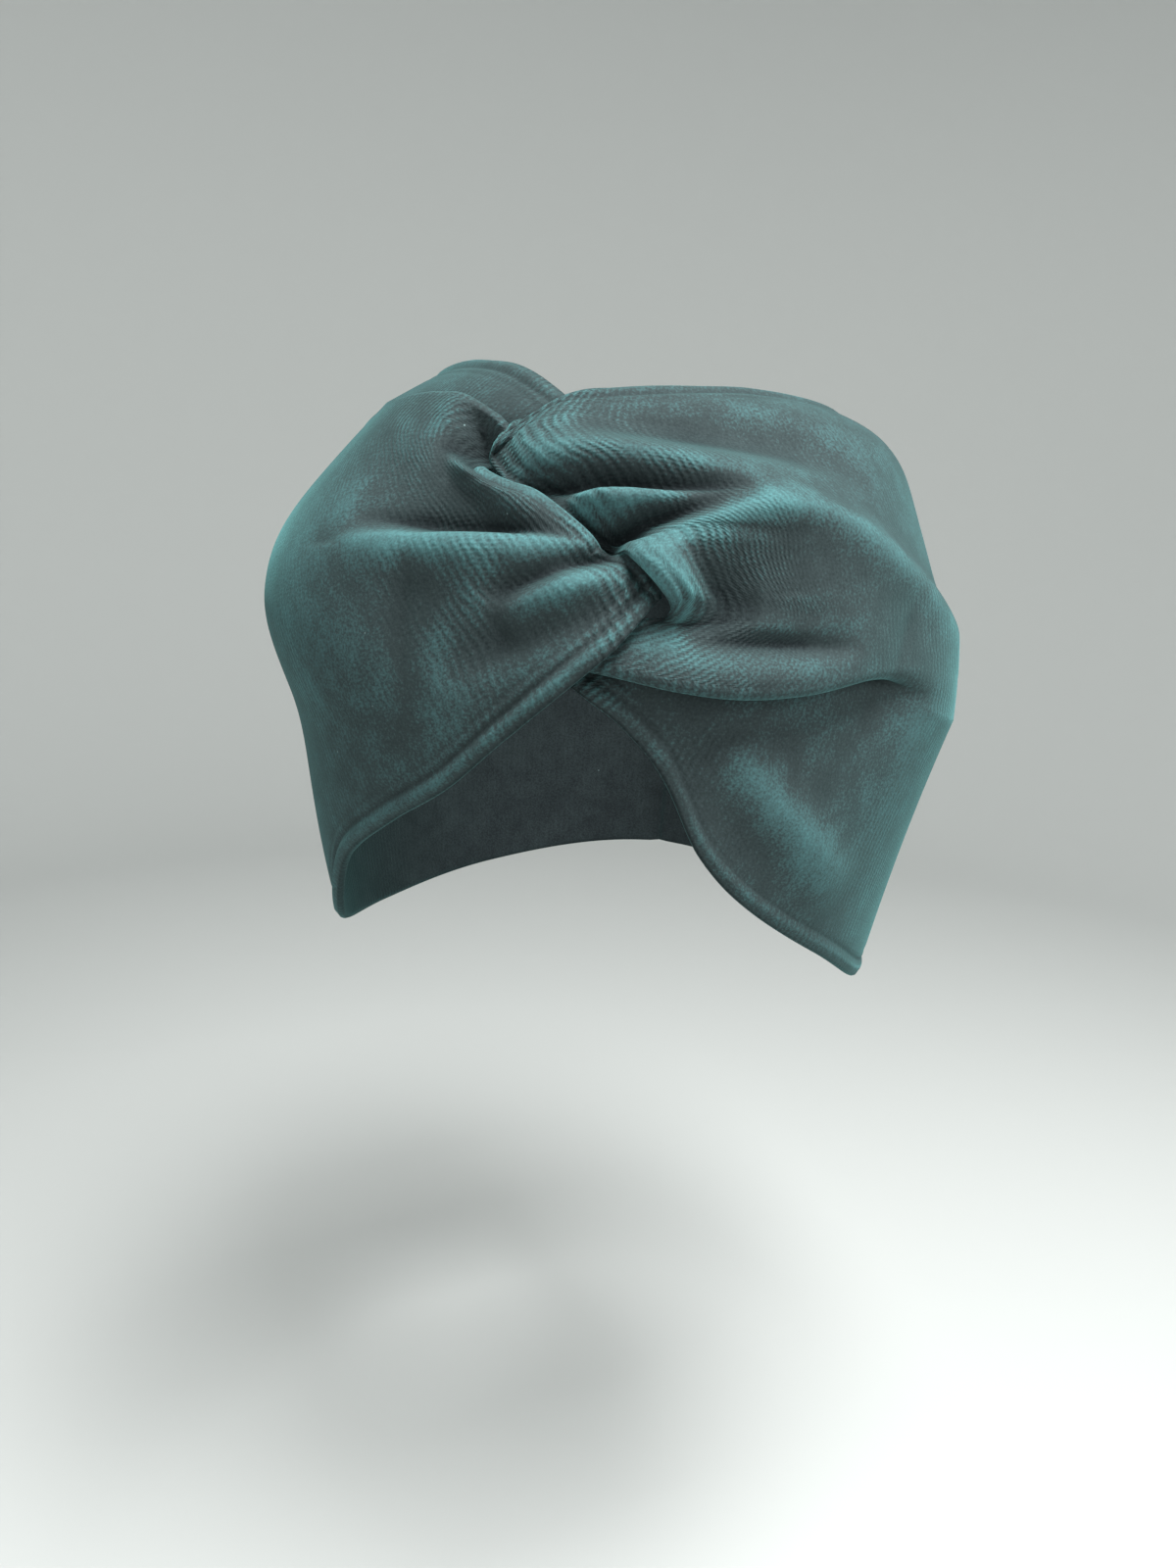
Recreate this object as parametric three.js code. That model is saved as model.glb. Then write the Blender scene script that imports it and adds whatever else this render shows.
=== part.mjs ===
// Turban headband of doubled velour with an interlocked twist at the front, in its worn form.
//
// Two panels, one to each side of the wearer, are folded through each other at the twist and are
// sewn together at the back. The origin is the middle of the head hollow at brow level, +Z up,
// with the twist on the -Y side and +X on the wearer's left. A place on the cloth is given as
//   turn   degrees round the head from straight ahead, positive to the wearer's left
//   rise   mm up the head from brow level
//   stand  mm out from the head to the outer face of the cloth
import * as THREE from 'three';

// Head hollow, as half sizes from the origin
const HOLLOW_HALF_WIDTH = 79;
const HOLLOW_FRONT = 92;
const HOLLOW_BACK = 94;
const HOLLOW_CROWN = 88;
const HOLLOW_JAW = 165;
const CROWN_FULLNESS = 0.8;
const JAW_FULLNESS = 0.95;

// Lengths on the head: mm for each degree up the crown, down the face and round the brow
const CROWN_LENGTH = 1.5;
const FACE_LENGTH = 2.85;
const BROW_LENGTH = 1.45;

// Cloth: two layers of velour as one wall, and the radii it takes where it turns over
const WALL = 2.0;
const FOLD_RADIUS = 2.5;
const TUCK_RADIUS = 0.9;
const ROLL_RADIUS = 2.5;
const FLAT_FOLD_SPREAD = 1.2;
const FLAT_FOLD_ONSET = 4;
const FLAT_EDGE_LIP = 0.6;
const FOLD_ONSET = 3;
const CREASE_SOFTNESS = 0.8;

// Each panel from the twist to the back seam, and how far the twist shapes it
const PANEL_LENGTH = 255;
const TWIST_REACH = 80;
const INNER_DRAPE_ONSET = 1 / 3;

// Mesh density
const ALONG_COLUMNS = 33;
const ALONG_GRADING = 1.75;
const ROLL_STEPS = 5;
const OUTER_ROWS = 18;
const FOLD_STEPS = 4;
const TUCK_STEPS = 3;
const INNER_ROWS = 9;
const CREASE_STEPS = 14;
const EDGE_STEP = 0.01;

const RADIANS = Math.PI / 180;
const QUARTER_TURN = Math.PI / 2;

// Cuts across a panel, a row for each, `along` mm from the twist. The outer half runs from `hem`
// to the long `fold`, with `bodyStand` half way; the inner half runs back from it to `far`.
// `foldAngle` is how far the fold turns under, `tuck` how deep it tucks in before it comes back.
const SECTION_COLUMNS = 'along hemTurn hemRise hemStand bodyStand foldTurn foldRise foldStand '
  + 'foldAngle tuck farTurn farRise farMid farStand';

// Wearer's right: hem = lower hem, fold = along the top, far = upper hem
const RIGHT_SECTIONS = table(SECTION_COLUMNS, [
  [0, 18.4, 26.2, 8.2, 9, -9, 65.5, 4, 60, 0, 8, 70, 2.8, 2.4],
  [10, 13, 17.8, 11.6, 13, -14, 69.5, 9.5, 165, 1, -2, 79, 4, 3.5],
  [22, 6.5, 9.5, 11, 13.2, -21, 71.5, 11.5, 170, 2, -12, 86, 5, 4.5],
  [36, -2, -1, 8, 12.5, -30, 72, 12.5, 165, 2, -22, 90, 6, 5.5],
  [52, -13, -15, 5.8, 12.5, -40, 70, 13, 130, 1, -34, 92, 7, 6],
  [72, -26, -26.5, 5, 12, -50, 66, 12, 70, 0, -48, 92, 8, 7],
  [96, -42, -42, 6.5, 11, -64, 62, 11, 30, 0, -64, 89, 9, 7.5],
  [125, -60, -69, 8, 10, -82, 56, 11, 10, 0, -82, 85, 8.5, 7],
  [165, -92, -81, 7.5, 10, -110, 48, 9, 0, 0, -110, 78, 7, 5.5],
  [205, -130, -81.5, 5.5, 8, -140, 40, 7, 0, 0, -140, 69, 5.5, 4.5],
  [255, -179.97, -77, 4, 6, -179.97, 30, 5.5, 0, 0, -179.97, 60, 4.5, 3.5],
]);

// Wearer's left: hem = upper hem, fold = under the front puff, far = lower hem
const LEFT_SECTIONS = table(SECTION_COLUMNS, [
  [0, -7.5, 66, 7.4, 9, 4, 13.4, 7.2, 130, 0, 3.5, 11.4, 2, 2.2],
  [10, 1, 74.5, 8, 10.5, 13.4, 11, 8.6, 155, 0, 9, 7, 2.6, 2.4],
  [22, 10, 78.5, 6.5, 11.5, 22, 8.5, 10, 165, 1, 15.3, 0.8, 3, 2.6],
  [36, 20, 80.5, 6, 12.5, 31, 7, 11.5, 170, 3, 22, -10.5, 3.5, 2.8],
  [52, 31, 82, 5.5, 14, 41, 7.5, 13.5, 170, 4, 28.5, -29, 5, 3.5],
  [72, 44, 83, 5.5, 14.5, 53, 9.5, 15, 140, 2, 38.5, -44, 7, 4.5],
  [96, 60, 82, 5.5, 13, 68, 8, 13.5, 50, 0, 56, -61, 9, 6.5],
  [125, 82, 80, 5.5, 11.5, 86, 4, 11.5, 5, 0, 79, -80, 9.5, 8],
  [165, 110, 76, 5.5, 10, 112, 0, 10.5, 0, 0, 106, -86, 9, 7.5],
  [205, 140, 69, 4.5, 8, 142, -4, 8, 0, 0, 138, -83, 7, 5.5],
  [255, 179.97, 60, 3.5, 6, 179.97, -8, 6, 0, 0, 179.97, -77, 5.5, 4],
]);

// The edge of each outer half at the twist, a row for each place from the hem (part 0) to the
// fold (part 1): `curl` degrees that it rolls under, `lip` mm of cloth beyond the roll, and the
// `blend` mm along the band in which its stand gives way to the sections.
const EDGE_COLUMNS = 'part turn rise stand curl lip blend';
const RIGHT_EDGE = table(EDGE_COLUMNS, [
  [0, 18.4, 26.2, 8.2, 0, 1, 20],
  [0.12, 16.4, 30, 7.6, 0, 3, 20],
  [0.24, 14.2, 33.3, 6.8, 5, 3, 15],
  [0.33, 11.4, 35.8, 6.6, 25, 0.3, 12],
  [0.4, 9.6, 38.4, 11, 120, 0.8, 12],
  [0.47, 7.2, 41.3, 13.2, 160, 1.2, 14],
  [0.55, 3.6, 45, 13.4, 170, 0.8, 18],
  [0.63, -0.6, 48.4, 13.6, 175, 0.8, 20],
  [0.72, -5.2, 50.5, 13.6, 175, 0.8, 20],
  [0.84, -11, 54.5, 13, 160, 0.8, 16],
  [0.92, -14, 60.5, 4, 5, 1, 7],
  [1, -9, 65.5, 4, 0, 1, 8],
]);
const LEFT_EDGE = table(EDGE_COLUMNS, [
  [0, -7.5, 66, 7.4, 10, 0.5, 15],
  [0.06, -9.4, 64, 8, 30, 0.5, 14],
  [0.12, -11.4, 61.2, 8.2, 50, 0.5, 12],
  [0.2, -12.2, 57.4, 5.8, 35, 0.6, 7],
  [0.3, -6.3, 51.5, 5.9, 5, 0.4, 7],
  [0.4, -0.8, 49, 5.9, 5, 0.4, 7],
  [0.47, 4.2, 44.4, 5.2, 5, 0.4, 7],
  [0.53, 8.4, 40.4, 4.2, 5, 0.6, 7],
  [0.58, 12.3, 37, 5, 25, 0.4, 9],
  [0.61, 13.6, 35.4, 10.6, 80, 0.4, 9],
  [0.64, 14.4, 33.4, 13.4, 140, 0.8, 9],
  [0.7, 16.2, 30.3, 15.2, 165, 1, 9],
  [0.75, 18.4, 27, 15.2, 150, 0.8, 9],
  [0.79, 20.2, 24.4, 13.4, 95, 0.4, 9],
  [0.82, 20.9, 22.6, 9.5, 30, 0.3, 9],
  [0.85, 20, 21, 7, 0, 0.3, 9],
  [0.88, 17.6, 19.9, 6.4, 0, 1, 9],
  [0.92, 13.8, 18, 6.2, 0, 2, 10],
  [0.96, 9, 15.6, 6.6, 0, 2, 10],
  [1, 4, 13.4, 7.2, 0, 1, 12],
]);

// Ridges (heights above 0) and valleys (below 0), a row for each: start, middle and end of its
// line, its height there, its reach above and below the line, and its shape, 1 sharp to 2 round.
const CREASE_COLUMNS = 'turn0 rise0 turn1 rise1 turn2 rise2 height0 height1 height2 above below shape';
const RIGHT_CREASES = table(CREASE_COLUMNS, [
  [9, 39.8, -9, 40.8, -32, 39.5, -1.5, -6.5, 0, 6, 2, 1.1], // sharp valley
  [8, 37.4, -9, 37, -30, 33, 1.5, 5, 1, 2, 7, 1.7], // ridge under it
  [11, 35.5, 4, 31.5, -6, 25.5, -3, -4.5, 0, 3.5, 3, 1.3], // inner valley
  [15, 31.5, 7, 28.5, -3, 19.5, 1.5, 4.6, 0, 3, 4, 1.9], // short ridge
  [16, 26.8, 3, 20.5, -14, 9, 0, -2.4, 0, 4.5, 4, 1.8], // hem valley
  [-12, 50, -24, 50, -44, 52, -2, -1.8, 0, 7, 7, 2], // shoulder valley
  [-14, 58, -15.5, 62.5, -17.5, 68, -1.6, -4.3, -1, 3, 3, 1.6], // pocket
  [-18, 20, -62, 22, -108, 20, 0, 10, 2, 26, 21, 2.1], // side puff
]);
const LEFT_CREASES = table(CREASE_COLUMNS, [
  [2, 64, 30, 63, 60, 52, 0, -4.5, 0, 7, 5, 2], // top valley
  [-2, 54.5, 28, 49.5, 78, 18, 2, 5, 2.4, 5, 6, 1.6], // long ridge
  [-2, 50.5, 14, 49.4, 38, 46.5, -3, -6.5, 0, 3.2, 1.8, 1.15], // upper valley
  [4, 46.4, 17, 46.4, 38, 45, 0.5, 5, 0, 1.8, 3.2, 1.8], // middle ridge
  [11, 38.4, 19.5, 42.9, 33, 46.4, -1.5, -7, 0, 3.2, 2.4, 1.2], // deep valley
  [14, 34.8, 25, 39.8, 42, 41, 1, 4.4, 0.6, 2.8, 7, 1.8], // nose ridge
  [21.5, 22.5, 26, 23.5, 33, 25, -1, -3.6, -0.5, 7, 3, 1.8], // cup
  [23, 18.4, 37, 17.6, 49, 16, -1, -4, 0, 3, 2, 1.15], // slit
  [16, 12.5, 33, 12, 52, 12.5, 0, 1.4, 0, 2.5, 3, 2], // lip roll
  [58, 14, 84, 4, 112, 2, 0, 6, 1, 15, 18, 2.2], // side puff
  [46, 66, 84, 62, 125, 56, 0, 3.5, 0, 12, 14, 2], // top puff
]);

// The same on the inner half of the wearer's left panel, where it drapes over the temple
const LEFT_INNER_CREASES = table(CREASE_COLUMNS, [
  [30, -4, 42, -24, 58, -46, 0, 3.4, 0, 7, 7, 2], // front drape
  [24, -2, 34, -20, 50, -40, 0, -1.5, 0, 6, 6, 2], // hem drape
]);

/** Rows of a table as objects with the named columns. */
function table(columns, rows) {
  const names = columns.split(' ');
  return rows.map((row) => Object.fromEntries(names.map((name, i) => [name, row[i]])));
}

/** Keeps a value between 0 and 1. */
function clamp(value) {
  return Math.min(Math.max(value, 0), 1);
}

/** Falls smoothly from 1 to 0 over the given reach. */
function fade(distance, reach) {
  const part = clamp(distance / reach);
  return (1 - part) * (1 - part) * (1 + 2 * part);
}

/** Parabola through three values at 0, 1/2 and 1. */
function parabola(start, middle, end, part) {
  return start * (1 - part) * (1 - 2 * part) + middle * 4 * part * (1 - part) + end * part * (2 * part - 1);
}

/** Angle up or down the head, for a rise in mm. */
function headAngle(rise) {
  return rise * RADIANS / (rise >= 0 ? CROWN_LENGTH : FACE_LENGTH);
}

/** Point in space for a place on the head: ellipses round it, a fuller curve up and down it. */
function headPoint({ turn, rise, stand }) {
  const up = rise >= 0;
  const fullness = up ? CROWN_FULLNESS : JAW_FULLNESS;
  const height = up ? HOLLOW_CROWN : HOLLOW_JAW;
  const lift = headAngle(rise);
  const around = turn * RADIANS;
  const depth = HOLLOW_FRONT + (HOLLOW_BACK - HOLLOW_FRONT) * (1 - Math.cos(around)) / 2;
  const narrowing = Math.cos(lift) ** fullness;
  const slope = fullness * Math.cos(lift) ** (fullness - 1) * Math.sin(lift);
  const radius = Math.hypot(HOLLOW_HALF_WIDTH * Math.sin(around), depth * Math.cos(around));
  const outward = new THREE.Vector2(Math.sin(around) / HOLLOW_HALF_WIDTH, -Math.cos(around) / depth);
  outward.normalize();
  const lean = new THREE.Vector2(height * Math.cos(lift), slope * radius).normalize();
  return new THREE.Vector3(
    HOLLOW_HALF_WIDTH * Math.sin(around) * narrowing + outward.x * lean.x * stand,
    -depth * Math.cos(around) * narrowing + outward.y * lean.x * stand,
    height * Math.sin(lift) + lean.y * stand,
  );
}

/** Smooth curve through one column of a table. All but turns end level, at the back seam. */
function curveThrough(rows, key, column) {
  const last = rows.length - 1;
  const tangents = rows.map((row, i) => {
    if (i === last && !/turn/i.test(column)) {
      return 0;
    }
    const before = rows[Math.max(i - 1, 0)];
    const after = rows[Math.min(i + 1, last)];
    return (after[column] - before[column]) / (after[key] - before[key]);
  });
  const curve = (at) => {
    let i = 0;
    while (i < last - 1 && at > rows[i + 1][key]) {
      i += 1;
    }
    const span = rows[i + 1][key] - rows[i][key];
    const s = (at - rows[i][key]) / span;
    const late = s * s * (3 - 2 * s);
    return (1 - late) * rows[i][column] + late * rows[i + 1][column]
      + span * s * (1 - s) * ((1 - s) * tangents[i] - s * tangents[i + 1]);
  };
  curve.firstSlope = tangents[0];
  return curve;
}

/** Every column of a table as a smooth curve of its key column. */
function curves(rows, key) {
  const columns = Object.keys(rows[0]);
  return Object.fromEntries(columns.map((column) => [column, curveThrough(rows, key, column)]));
}

/** Point on the line of a crease. */
function creasePoint(crease, part) {
  return {
    turn: parabola(crease.turn0, crease.turn1, crease.turn2, part),
    rise: parabola(crease.rise0, crease.rise1, crease.rise2, part),
  };
}

/** Place on the line of a crease that is nearest to a place on the head. */
function nearestOnCrease(crease, turn, rise) {
  const turnLength = BROW_LENGTH * Math.cos(headAngle(rise));
  let nearest = { distance: Infinity };
  for (let k = 0; k < CREASE_STEPS; k += 1) {
    const from = creasePoint(crease, k / CREASE_STEPS);
    const to = creasePoint(crease, (k + 1) / CREASE_STEPS);
    const line = new THREE.Vector2((to.turn - from.turn) * turnLength, to.rise - from.rise);
    const place = new THREE.Vector2((turn - from.turn) * turnLength, rise - from.rise);
    const part = clamp(place.dot(line) / line.lengthSq());
    const distance = place.distanceTo(line.clone().multiplyScalar(part));
    if (distance < nearest.distance) {
      const isAbove = line.cross(place) * line.x > 0;
      nearest = { distance, isAbove, part: (k + part) / CREASE_STEPS };
    }
  }
  return nearest;
}

/** Height in mm that the creases add at a place: a bell across each line, low at its ends. */
function creaseHeight(creases, turn, rise) {
  return creases.reduce((height, crease) => {
    const nearest = nearestOnCrease(crease, turn, rise);
    const distance = Math.hypot(nearest.distance, CREASE_SOFTNESS) - CREASE_SOFTNESS;
    const reach = nearest.isAbove ? crease.above : crease.below;
    const crest = parabola(crease.height0, crease.height1, crease.height2, nearest.part);
    return height + crest * Math.exp(-((distance / reach) ** crease.shape));
  }, 0);
}

/** How far before its line a fold starts to turn, in mm. */
function foldLead(angle) {
  return FOLD_RADIUS * Math.sin(Math.min(angle * RADIANS, QUARTER_TURN));
}

/** Cloth round a fold: an arc over, a straight tuck, and a small arc back. */
function foldPath(angle, tuck) {
  const turned = angle * RADIANS;
  const path = [];
  for (let k = 1; k <= FOLD_STEPS; k += 1) {
    const a = turned * k / FOLD_STEPS;
    path.push({ past: FOLD_RADIUS * Math.sin(a), drop: FOLD_RADIUS * (1 - Math.cos(a)) });
  }
  const arcEnd = path[path.length - 1];
  const tuckEnd = {
    past: arcEnd.past + tuck * Math.cos(turned),
    drop: arcEnd.drop + tuck * Math.sin(turned),
  };
  for (let k = 0; k <= TUCK_STEPS; k += 1) {
    const a = turned * (1 - k / TUCK_STEPS);
    path.push({
      past: tuckEnd.past + TUCK_RADIUS * (Math.sin(turned) - Math.sin(a)),
      drop: tuckEnd.drop + TUCK_RADIUS * (Math.cos(a) - Math.cos(turned)),
    });
  }
  // Where the fold flattens out towards the back, its rows still lie side by side
  const spread = FLAT_FOLD_SPREAD * Math.cos(turned / 2) ** FLAT_FOLD_ONSET;
  return path.map((step, k) => ({ past: step.past + spread * (k + 1), drop: step.drop }));
}

/** Columns of a panel's grid: the lip, the roll at the twist, then cuts to the back seam. */
function panelColumns() {
  const columns = [{ along: 0, roll: 1, lip: 1 }];
  for (let k = ROLL_STEPS; k >= 1; k -= 1) {
    columns.push({ along: 0, roll: k / ROLL_STEPS, lip: 0 });
  }
  for (let i = 0; i < ALONG_COLUMNS; i += 1) {
    const part = i / (ALONG_COLUMNS - 1);
    columns.push({ along: PANEL_LENGTH * part ** ALONG_GRADING, roll: 0, lip: 0 });
  }
  return columns;
}

/** Places across the outer half of a panel in one column, from the hem to the fold. */
function outerHalf(panel, column) {
  const { section, edge, creases, foldSide } = panel;
  const { along } = column;
  const near = fade(along, TWIST_REACH);
  const lead = foldLead(Math.max(section.foldAngle(along), 0));
  const places = [];
  for (let j = 0; j <= OUTER_ROWS; j += 1) {
    const part = j / OUTER_ROWS;
    const chord = (kind, at) => (1 - part) * section[`hem${kind}`](at) + part * section[`fold${kind}`](at);
    const bulge = (at) => parabola(section.hemStand(at), section.bodyStand(at), section.foldStand(at), part);
    const turn = chord('Turn', along) + near * (edge.turn(part) - chord('Turn', 0));
    const rise = chord('Rise', along) + near * (edge.rise(part) - chord('Rise', 0))
      - foldSide * lead * part ** FOLD_ONSET;
    const stand = bulge(along) + fade(along, edge.blend(part)) * (edge.stand(part) - bulge(0))
      + creaseHeight(creases, turn, rise);
    places.push(rollUnder({ turn, rise, stand }, edge, part, near, column));
  }
  return places;
}

/** Moves a place at the twist round the roll of the edge, square to the line of the edge. */
function rollUnder(place, edge, part, near, column) {
  const before = Math.max(part - EDGE_STEP, 0);
  const after = Math.min(part + EDGE_STEP, 1);
  const line = new THREE.Vector2(
    (edge.turn(after) - edge.turn(before)) * BROW_LENGTH,
    edge.rise(after) - edge.rise(before),
  ).normalize();
  const curl = edge.curl(part) * RADIANS;
  const rolled = curl * column.roll;
  const lip = column.lip * edge.lip(part);
  const sideways = Math.sin(Math.min(curl, QUARTER_TURN));
  const past = ROLL_RADIUS * (Math.sin(rolled) - near * sideways) + lip * Math.cos(curl)
    + FLAT_EDGE_LIP * column.roll * (1 - sideways);
  return {
    turn: place.turn + line.y * past / BROW_LENGTH,
    rise: place.rise - line.x * past,
    stand: place.stand - ROLL_RADIUS * (1 - Math.cos(rolled)) - lip * Math.sin(curl),
  };
}

/** Places over the fold and across the inner half. Ahead of the first cut its hem runs on. */
function innerHalf(panel, column, foldPlace) {
  const { section, innerCreases, foldSide } = panel;
  const { along, roll } = column;
  const angle = Math.max(section.foldAngle(along), 0);
  const tuck = Math.max(section.tuck(along), 0);
  const places = foldPath(angle, tuck).map((step) => ({
    turn: foldPlace.turn,
    rise: foldPlace.rise + foldSide * step.past,
    stand: foldPlace.stand - step.drop,
  }));
  const root = places[places.length - 1];
  const past = new THREE.Vector2(
    (foldPlace.turn - section.foldTurn(along)) * BROW_LENGTH,
    foldPlace.rise + foldSide * foldLead(angle) - section.foldRise(along),
  );
  const ahead = roll > 0 ? past.length() : 0;
  const farTurn = section.farTurn(along) - ahead * section.farTurn.firstSlope;
  const farRise = section.farRise(along) - ahead * section.farRise.firstSlope;
  for (let k = 1; k <= INNER_ROWS; k += 1) {
    const part = k / INNER_ROWS;
    const turn = (1 - part) * root.turn + part * farTurn;
    const rise = (1 - part) * root.rise + part * farRise;
    const stand = parabola(root.stand, section.farMid(along), section.farStand(along), part)
      + clamp(part / INNER_DRAPE_ONSET) * creaseHeight(innerCreases, turn, rise);
    places.push({ turn, rise, stand });
  }
  return places;
}

/** Grid of points on the outer face of a panel, a list for each column. */
function outerFace(panel) {
  return panelColumns().map((column) => {
    const outer = outerHalf(panel, column);
    const inner = innerHalf(panel, column, outer[outer.length - 1]);
    return [...outer, ...inner].map(headPoint);
  });
}

/** Outward normal of the grid. At the back seam the cloth lies square to it. */
function gridNormal(grid, i, j) {
  const last = grid.length - 1;
  const end = grid[0].length - 1;
  const across = grid[i][Math.min(j + 1, end)].clone().sub(grid[i][Math.max(j - 1, 0)]);
  const along = grid[Math.min(i + 1, last)][j].clone().sub(grid[Math.max(i - 1, 0)][j]);
  if (i === last) {
    along.set(-Math.sign(grid[i][j].x), 0, 0);
  }
  return across.cross(along).normalize();
}

/** Closed body of a panel: the outer face, a face one wall further in, and four rims. */
function clothBody(grid) {
  const last = grid.length - 1;
  const end = grid[0].length - 1;
  const positions = [];
  const index = [];
  const addPoint = (point) => positions.push(point.x, point.y, point.z) / 3 - 1;
  const addQuad = (a, b, c, d) => index.push(a, b, c, a, c, d);
  const outer = grid.map((column) => column.map(addPoint));
  const inner = grid.map((column, i) => column.map((point, j) => (
    addPoint(point.clone().addScaledVector(gridNormal(grid, i, j), -WALL)))));
  for (let i = 0; i < last; i += 1) {
    for (let j = 0; j < end; j += 1) {
      addQuad(outer[i][j], outer[i][j + 1], outer[i + 1][j + 1], outer[i + 1][j]);
      addQuad(inner[i][j], inner[i + 1][j], inner[i + 1][j + 1], inner[i][j + 1]);
    }
    addQuad(outer[i][0], outer[i + 1][0], inner[i + 1][0], inner[i][0]);
    addQuad(outer[i + 1][end], outer[i][end], inner[i][end], inner[i + 1][end]);
  }
  for (let j = 0; j < end; j += 1) {
    addQuad(outer[0][j + 1], outer[0][j], inner[0][j], inner[0][j + 1]);
    addQuad(outer[last][j], outer[last][j + 1], inner[last][j + 1], inner[last][j]);
  }
  const geometry = new THREE.BufferGeometry();
  geometry.setAttribute('position', new THREE.Float32BufferAttribute(positions, 3));
  geometry.setIndex(index);
  geometry.computeVertexNormals();
  return geometry;
}

/** One panel of the headband. foldSide is 1 where its long fold lies above its hem, else -1. */
function velourPanel(name, sections, edgeRows, creases, innerCreases, foldSide) {
  const section = curves(sections, 'along');
  const edge = curves(edgeRows, 'part');
  const grid = outerFace({ section, edge, creases, innerCreases, foldSide });
  const velour = new THREE.MeshStandardMaterial({ color: 0x2c5657, roughness: 0.9, metalness: 0 });
  const mesh = new THREE.Mesh(clothBody(grid), velour);
  mesh.name = name;
  return mesh;
}

const headband = new THREE.Group();
headband.name = 'turban_headband';
headband.add(
  velourPanel('wearer_right_panel', RIGHT_SECTIONS, RIGHT_EDGE, RIGHT_CREASES, [], 1),
  velourPanel('wearer_left_panel', LEFT_SECTIONS, LEFT_EDGE, LEFT_CREASES, LEFT_INNER_CREASES, -1),
);

export default headband;
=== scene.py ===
"""Turban headband of doubled velour with a front twist, in its worn form.

Each panel is one surface of two parameters: along the band, from the twist to the back seam, and
across it, from the hem over the long fold to the far hem. Places on the cloth are given as turn
(degrees round the head, positive to the wearer's left), rise (mm up the head from brow level) and
stand (mm out from the head).
"""
import logging
import math
from collections.abc import Sequence
from dataclasses import dataclass, field
from enum import Enum

import bpy
import numpy as np
from mathutils import Matrix, Vector


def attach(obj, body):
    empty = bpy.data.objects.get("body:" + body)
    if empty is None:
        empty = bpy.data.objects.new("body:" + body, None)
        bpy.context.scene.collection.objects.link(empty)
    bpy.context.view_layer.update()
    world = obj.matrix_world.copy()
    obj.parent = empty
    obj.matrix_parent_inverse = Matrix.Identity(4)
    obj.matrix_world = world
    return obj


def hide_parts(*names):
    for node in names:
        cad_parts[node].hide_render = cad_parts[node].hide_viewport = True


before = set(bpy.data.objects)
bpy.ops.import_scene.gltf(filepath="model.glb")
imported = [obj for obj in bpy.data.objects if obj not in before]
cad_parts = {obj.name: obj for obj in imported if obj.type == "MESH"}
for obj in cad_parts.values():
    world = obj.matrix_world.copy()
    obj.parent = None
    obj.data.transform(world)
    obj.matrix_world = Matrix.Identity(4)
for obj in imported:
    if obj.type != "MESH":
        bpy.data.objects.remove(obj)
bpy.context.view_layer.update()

LOG = logging.getLogger("headband")
MM = 0.001
CREASE_STEPS = 40
CLOTH_MAP = "cloth"
# Attribute of painted light and shade: lighter on crests, darker in valleys and inside
CREST_VALLEY_SHADE = "crest_valley_shade"
SHORTEST = 1e-12

# Sockets of a colour Mix node, whose names repeat
MIX_FACTOR, MIX_FIRST, MIX_SECOND = 0, 6, 7
MIX_COLOUR = 2

SECTION_COLUMNS = (
    "along hem_turn hem_rise hem_stand body_stand fold_turn fold_rise fold_stand "
    "fold_angle tuck far_turn far_rise far_mid far_stand"
)
EDGE_COLUMNS = "part turn rise stand curl lip blend"

# Cuts across each panel, `along` mm from the twist. The outer half runs from hem to fold, with
# body_stand half way, and the inner half back from the fold to the far hem.
RIGHT_SECTIONS = (
    (0, 18.4, 26.2, 8.2, 9, -9, 65.5, 4, 60, 0, 8, 70, 2.8, 2.4),
    (10, 13, 17.8, 11.6, 13, -14, 69.5, 9.5, 165, 1, -2, 79, 4, 3.5),
    (22, 6.5, 9.5, 11, 13.2, -21, 71.5, 11.5, 170, 2, -12, 86, 5, 4.5),
    (36, -2, -1, 8, 12.5, -30, 72, 12.5, 165, 2, -22, 90, 6, 5.5),
    (52, -13, -15, 5.8, 12.5, -40, 70, 13, 130, 1, -34, 92, 7, 6),
    (72, -26, -26.5, 5, 12, -50, 66, 12, 70, 0, -48, 92, 8, 7),
    (96, -42, -42, 6.5, 11, -64, 62, 11, 30, 0, -64, 89, 9, 7.5),
    (125, -60, -69, 8, 10, -82, 56, 11, 10, 0, -82, 85, 8.5, 7),
    (165, -92, -81, 7.5, 10, -110, 48, 9, 0, 0, -110, 78, 7, 5.5),
    (205, -130, -81.5, 5.5, 8, -140, 40, 7, 0, 0, -140, 69, 5.5, 4.5),
    (255, -180, -77, 4, 6, -180, 30, 5.5, 0, 0, -180, 60, 4.5, 3.5),
)
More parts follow.
